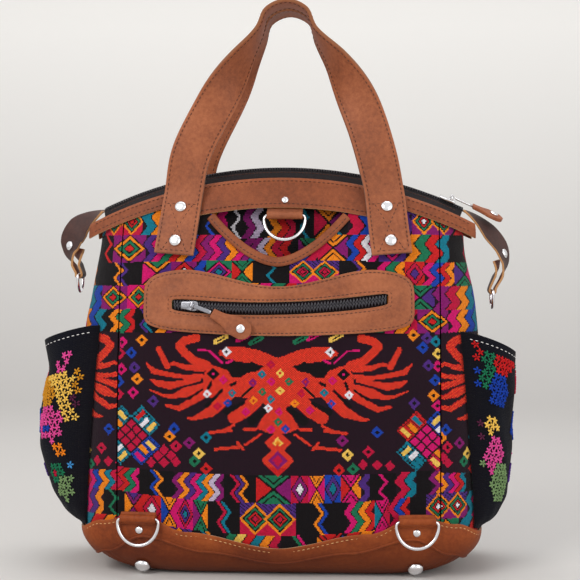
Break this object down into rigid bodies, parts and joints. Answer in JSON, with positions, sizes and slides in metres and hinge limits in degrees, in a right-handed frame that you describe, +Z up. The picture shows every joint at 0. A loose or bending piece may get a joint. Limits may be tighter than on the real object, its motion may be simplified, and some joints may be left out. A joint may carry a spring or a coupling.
{
  "type": "convertible bag",
  "caption": "Zip-topped brocaded cloth bag with leather bands, base and handles, pockets and strap rings.",
  "frame": {"origin": "middle of the base's flat underside", "axes": "+Z up through the handles, +X to the bag's right as seen from its front, front towards -Y"},
  "size_m": [0.4566, 0.165, 0.5418],
  "materials": {
    "brocade": "brocaded cotton, many colours on an aubergine ground",
    "pocket_cloth": "black cotton with embroidered flowers",
    "leather": "brown pull-up leather, stitched",
    "base_leather": "tan leather, darker towards the underside",
    "zip_tape": "black tape with a nylon coil",
    "hardware": "bright nickel plate"
  },
  "bodies": {
    "root": {"front_panel": "brocade", "back_panel": "brocade", "slip_pocket_lining": "brocade", "left_gusset": "brocade", "right_gusset": "brocade", "scoop_binding": "leather", "front_top_band": "leather", "back_top_band": "leather", "main_zip": "zip_tape", "front_handle": "leather", "back_handle": "leather", "front_left_lower_rivet": "hardware", "front_left_upper_rivet": "hardware", "front_right_lower_rivet": "hardware", "front_right_upper_rivet": "hardware", "back_left_lower_rivet": "hardware", "back_left_upper_rivet": "hardware", "back_right_lower_rivet": "hardware", "back_right_upper_rivet": "hardware", "pocket_surround": "leather", "pocket_zip": "zip_tape", "base_band": "base_leather", "base_panel": "base_leather", "front_left_stud": "hardware", "front_right_stud": "hardware", "back_left_stud": "hardware", "back_right_stud": "hardware", "top_ring_loop": "leather", "top_ring_rivet": "hardware", "lower_left_ring_loop": "base_leather", "lower_left_rivet": "hardware", "lower_right_ring_loop": "base_leather", "lower_right_rivet": "hardware", "left_shoulder_tab": "leather", "right_shoulder_tab": "leather", "left_snap": "hardware", "right_snap": "hardware", "left_side_pocket": "pocket_cloth", "right_side_pocket": "pocket_cloth"},
    "top_ring": {"top_ring": "hardware"},
    "lower_left_ring": {"lower_left_ring": "hardware"},
    "lower_right_ring": {"lower_right_ring": "hardware"},
    "left_shoulder_ring": {"left_shoulder_ring": "hardware"},
    "right_shoulder_ring": {"right_shoulder_ring": "hardware"},
    "pocket_slider": {"pocket_slider": "hardware"},
    "pocket_pull": {"pocket_pull": "hardware", "pocket_pull_tab": "leather", "pocket_pull_rivet": "hardware"},
    "main_slider": {"main_slider": "hardware"},
    "main_pull": {"main_pull": "hardware", "main_pull_tab": "leather", "main_pull_rivet": "hardware"}
  },
  "joints": [
    {"name": "top_ring_swing", "type": "hinge", "parent": "root", "child": "top_ring", "pos_m": [0.00501, -0.04301, 0.33761], "axis": [1, 0.0042, -0.0017], "range_deg": [-150, 0]},
    {"name": "lower_left_ring_swing", "type": "hinge", "parent": "root", "child": "lower_left_ring", "pos_m": [-0.1289, -0.08046, 0.05619], "axis": [0.9947, -0.1025, 0.0022], "range_deg": [-150, 0]},
    {"name": "lower_right_ring_swing", "type": "hinge", "parent": "root", "child": "lower_right_ring", "pos_m": [0.1289, -0.08046, 0.05619], "axis": [0.9947, 0.1025, -0.0022], "range_deg": [-150, 0]},
    {"name": "left_shoulder_ring_swing", "type": "hinge", "parent": "root", "child": "left_shoulder_ring", "pos_m": [-0.19938, 0, 0.28103], "axis": [0, 1, 0], "range_deg": [-35, 80]},
    {"name": "right_shoulder_ring_swing", "type": "hinge", "parent": "root", "child": "right_shoulder_ring", "pos_m": [0.20338, 0, 0.26603], "axis": [0, 1, 0], "range_deg": [-80, 35]},
    {"name": "pocket_zip_run", "type": "hinge", "parent": "root", "child": "pocket_slider", "pos_m": [-0.0175, 0.28388, 0.8927], "axis": [-0.008, -0.8774, 0.4797], "range_deg": [0, 13.06]},
    {"name": "pocket_pull_flip", "type": "hinge", "parent": "pocket_slider", "child": "pocket_pull", "pos_m": [-0.07948, -0.07065, 0.25341], "axis": [-0.3522, -0.1407, -0.9253], "range_deg": [0, 150]},
    {"name": "main_zip_run", "type": "hinge", "parent": "root", "child": "main_slider", "pos_m": [0, 0, -0.024], "axis": [0, 1, 0], "range_deg": [-45.94, 0]},
    {"name": "main_pull_flip", "type": "hinge", "parent": "main_slider", "child": "main_pull", "pos_m": [0.16445, -0.00361, 0.35638], "axis": [0, 0.9366, 0.3503], "range_deg": [-150, 0]}
  ]
}
